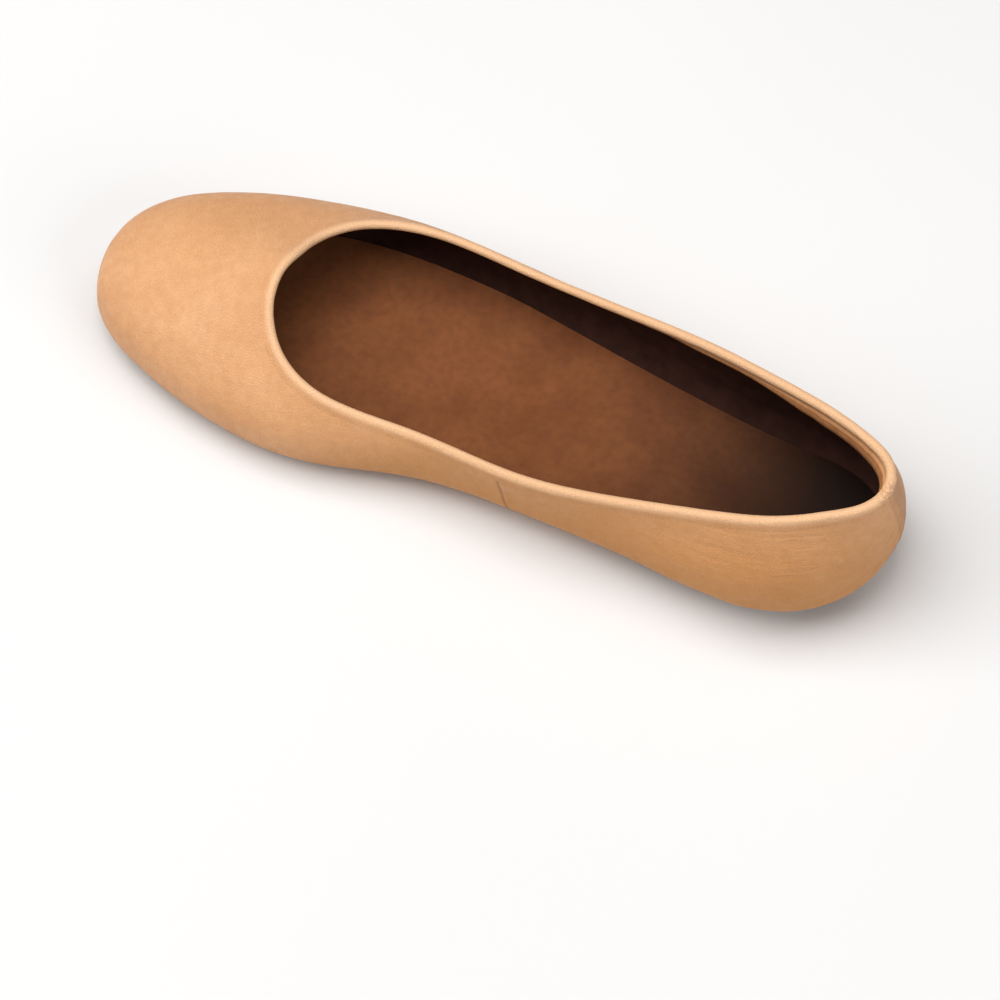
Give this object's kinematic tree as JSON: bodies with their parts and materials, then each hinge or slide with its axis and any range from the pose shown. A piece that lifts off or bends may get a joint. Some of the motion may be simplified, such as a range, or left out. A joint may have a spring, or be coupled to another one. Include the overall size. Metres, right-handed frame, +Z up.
{
  "type": "ballet flat",
  "caption": "Slip-on ballet flat for the right foot: smooth tan leather upper with an open throat, folded topline binding, insole, thin sole and low heel lift.",
  "frame": {"origin": "on the floor, under the middle of the shoe's length and width", "axes": "+X from the heel to the toe, +Y to the inner side of the foot, +Z up"},
  "size_m": [0.2548, 0.0852, 0.0564],
  "materials": {
    "tan_leather": "smooth tan leather with a fine grain and a soft sheen",
    "edge_leather": "the same tan leather, rolled thin over the topline",
    "brown_lining": "matt dark brown lining leather",
    "sole_rubber": "matt brown rubber",
    "lift_rubber": "matt dark brown rubber"
  },
  "bodies": {
    "root": {"upper": "tan_leather", "topline_binding": "edge_leather", "insole": "brown_lining", "outsole": "sole_rubber", "heel_lift": "lift_rubber"}
  },
  "joints": []
}
